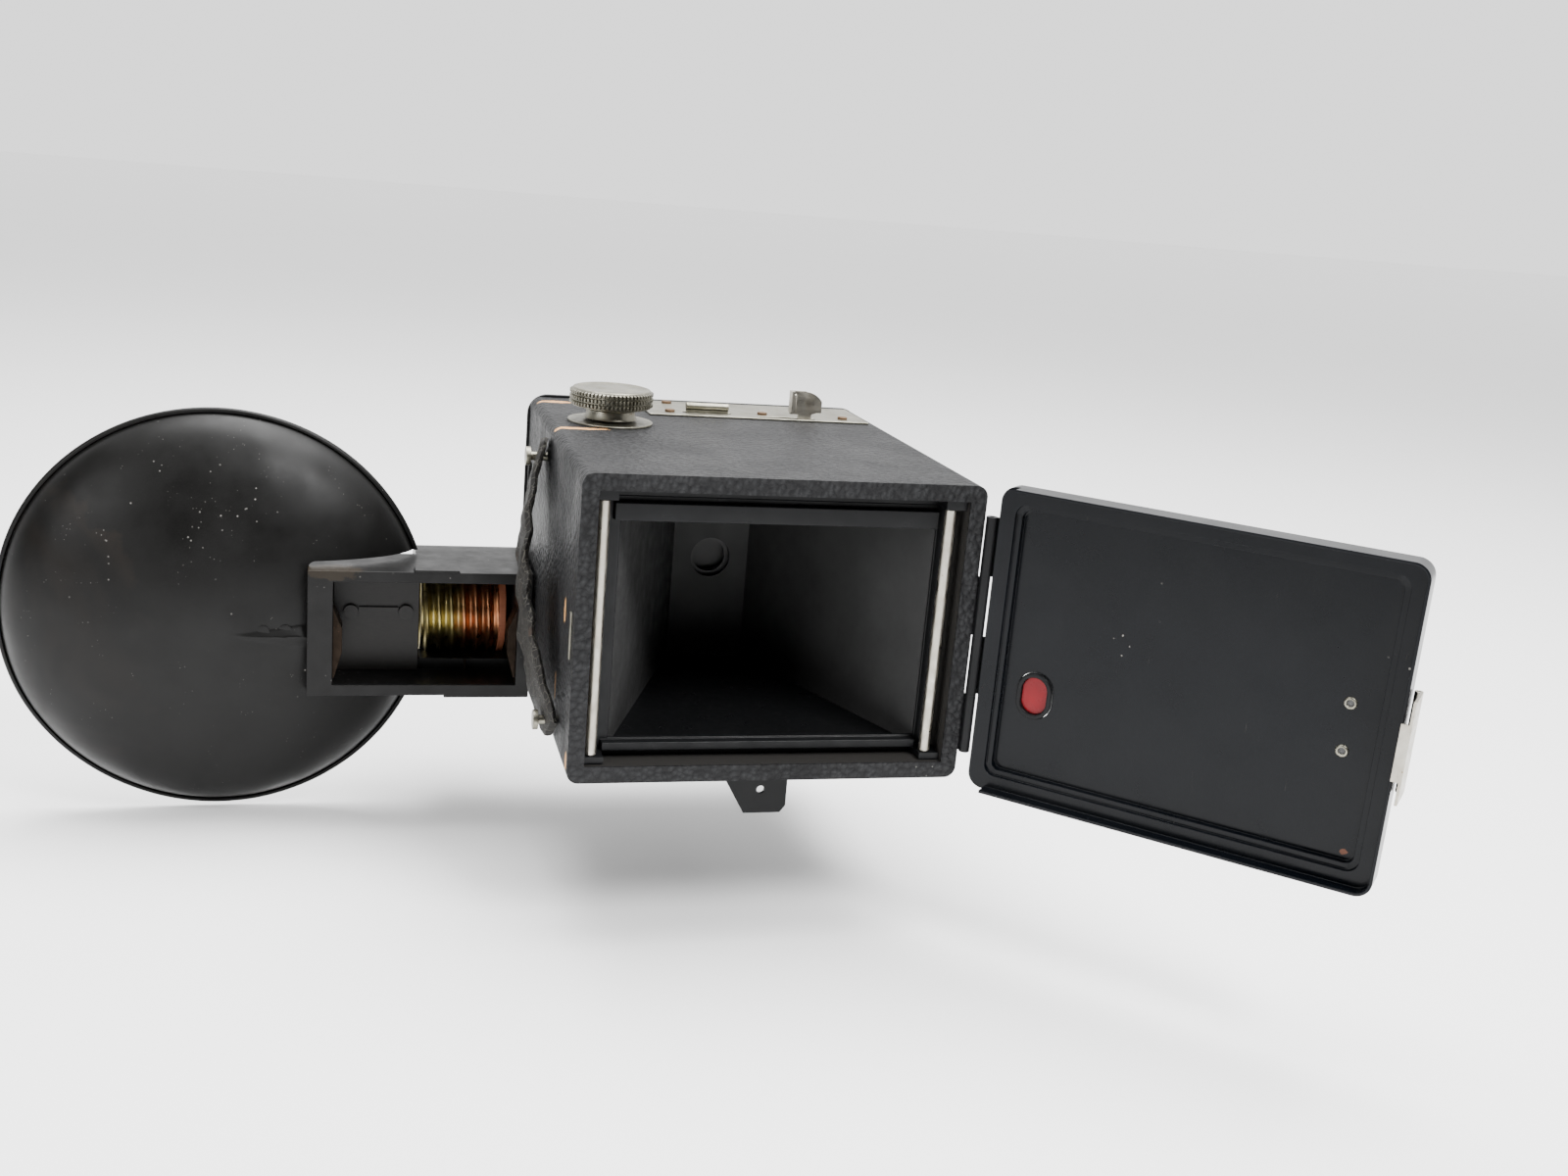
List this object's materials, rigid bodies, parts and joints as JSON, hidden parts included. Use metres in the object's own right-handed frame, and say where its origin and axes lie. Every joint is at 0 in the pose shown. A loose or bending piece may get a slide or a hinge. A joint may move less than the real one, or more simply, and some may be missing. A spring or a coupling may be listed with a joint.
{
  "type": "roll-film box camera with flash bulb gun",
  "caption": "Box camera lying on its side with its back door open, and a plug-in flash bulb gun with a round bowl reflector.",
  "frame": {"origin": "on the lens axis, at the outer face of the front plate, in the lens ring's bore", "axes": "+Y along the lens axis in the shooting direction, +Z to the winding-knob side, +X to the camera's base, where the back door is hinged; the flash gun is on the -X side"},
  "size_m": [0.3345, 0.2088, 0.1341],
  "materials": {
    "case_card": "pressed card, stained black",
    "leather_grain": "pebbled artificial leather, worn",
    "black_enamel": "semi-gloss black enamel",
    "door_enamel": "blue-black baked enamel",
    "reflector_paint": "semi-gloss black paint, dusty and scratched",
    "matt_black_metal": "matt black",
    "carrier_black": "black lacquer, low gloss",
    "cone_black": "matt black",
    "aged_nickel": "aged nickel plate",
    "bright_nickel": "polished nickel plate, lightly worn",
    "rusty_steel": "rusted screw heads",
    "brass": "dull brass",
    "socket_brass": "tarnished brass, coppery towards the inner end",
    "contact_bronze": "dull bronze",
    "lens_glass": "clear",
    "ground_glass": "frosted",
    "mirror": "silvered glass",
    "strap_leather": "dry cracked leather",
    "red_celluloid": "red celluloid",
    "bakelite": "black moulded, dulled",
    "fibre_plate": "dark pressed fibre",
    "red_fibre": "vulcanised fibre"
  },
  "bodies": {
    "camera": {"body_case": "case_card", "body_covering": "leather_grain", "front_plate": "black_enamel", "lens_ring": "aged_nickel", "lens_barrel": "matt_black_metal", "lens_glass": "lens_glass", "finder_boxes": "matt_black_metal", "finder_lenses": "lens_glass", "finder_mirrors": "mirror", "finder_screens": "ground_glass", "mechanism_plate": "matt_black_metal", "pivot_pins": "brass", "control_strip": "aged_nickel", "strip_screws": "rusty_steel", "knob_bush": "aged_nickel", "carrier_top_board": "carrier_black", "carrier_bottom_board": "carrier_black", "film_cone": "cone_black", "gate_frame": "carrier_black", "spool_pins": "aged_nickel", "hinge_leaf": "black_enamel", "hinge_pin": "black_enamel", "latch_catch": "aged_nickel", "contact_bushes": "brass", "sync_strips": "brass", "strap": "strap_leather", "strap_studs": "aged_nickel", "foot_bracket": "black_enamel"},
    "knob_slide": {"knob_sleeve": "brass"},
    "knob": {"winding_knob": "aged_nickel", "winding_key": "aged_nickel"},
    "spool": {"take_up_spool": "matt_black_metal"},
    "left_roller": {"roller_left": "bright_nickel"},
    "right_roller": {"roller_right": "bright_nickel"},
    "lever": {"shutter_lever": "bright_nickel"},
    "shutter": {"shutter_disc": "matt_black_metal"},
    "stop": {"stop_slide": "matt_black_metal", "stop_tab": "aged_nickel"},
    "foot": {"stand_foot": "black_enamel"},
    "door": {"back_door": "door_enamel", "door_covering": "leather_grain", "window_ring": "black_enamel", "red_window": "red_celluloid", "door_hinge_leaf": "black_enamel", "latch_rivets": "aged_nickel"},
    "latch": {"door_latch": "bright_nickel"},
    "gun": {"gun_housing": "bakelite", "cell_plate": "fibre_plate", "cell_bar": "fibre_plate", "cell_rivets": "fibre_plate", "reflector": "reflector_paint", "reflector_bracket": "reflector_paint", "bracket_rivets": "reflector_paint", "socket_shell": "socket_brass", "socket_insulator": "red_fibre", "battery_contacts": "contact_bronze", "lead_wire": "contact_bronze", "contact_prongs": "brass"},
    "socket_contact": {"centre_contact": "brass"}
  },
  "joints": [
    {"name": "door_hinge", "type": "hinge", "parent": "camera", "child": "door", "pos_m": [0.05271, -0.1163, 0], "axis": [0, 0, 1], "range_deg": [-136, 38]},
    {"name": "latch_hinge", "type": "hinge", "parent": "door", "child": "latch", "pos_m": [0.13196, -0.18963, -0.0003], "axis": [0, 0, 1], "range_deg": [-3, 30]},
    {"name": "knob_pull", "type": "slide", "parent": "camera", "child": "knob_slide", "axis": [0, 0, 1], "range_m": [0, 0.005]},
    {"name": "knob_turn", "type": "hinge", "parent": "knob_slide", "child": "knob", "pos_m": [-0.03484, -0.0416, 0.045], "axis": [0, 0, 1], "continuous": true},
    {"name": "spool_turn", "type": "hinge", "parent": "camera", "child": "spool", "pos_m": [-0.03484, -0.0416, 0], "axis": [0, 0, 1], "continuous": true},
    {"name": "roller_left_turn", "type": "hinge", "parent": "camera", "child": "left_roller", "pos_m": [-0.04665, -0.1118, 0.0019], "axis": [0, 0, 1], "continuous": true},
    {"name": "roller_right_turn", "type": "hinge", "parent": "camera", "child": "right_roller", "pos_m": [0.04305, -0.1118, 0.0019], "axis": [0, 0, 1], "continuous": true},
    {"name": "lever_swing", "type": "hinge", "parent": "camera", "child": "lever", "pos_m": [0.0272, -0.0242, -0.008], "axis": [0, -1, 0], "range_deg": [0, 10]},
    {"name": "shutter_turn", "type": "hinge", "parent": "camera", "child": "shutter", "pos_m": [0.012, -0.0227, -0.008], "axis": [0, 1, 0], "range_deg": [0, 80]},
    {"name": "stop_pull", "type": "slide", "parent": "camera", "child": "stop", "axis": [0, 0, 1], "range_m": [0, 0.007]},
    {"name": "foot_fold", "type": "hinge", "parent": "camera", "child": "foot", "pos_m": [0, -0.102, -0.03885], "axis": [1, 0, 0], "range_deg": [0, 86]},
    {"name": "gun_release", "type": "slide", "parent": "camera", "child": "gun", "axis": [-1, 0, 0], "range_m": [0, 0.014]},
    {"name": "contact_press", "type": "slide", "parent": "gun", "child": "socket_contact", "axis": [1, 0, 0], "range_m": [0, 0.001], "stiffness_N_per_m": 500}
  ],
  "couplings": [
    {"joint": "spool_turn", "follows": "knob_turn", "ratio": 1},
    {"joint": "shutter_turn", "follows": "lever_swing", "ratio": 8}
  ]
}
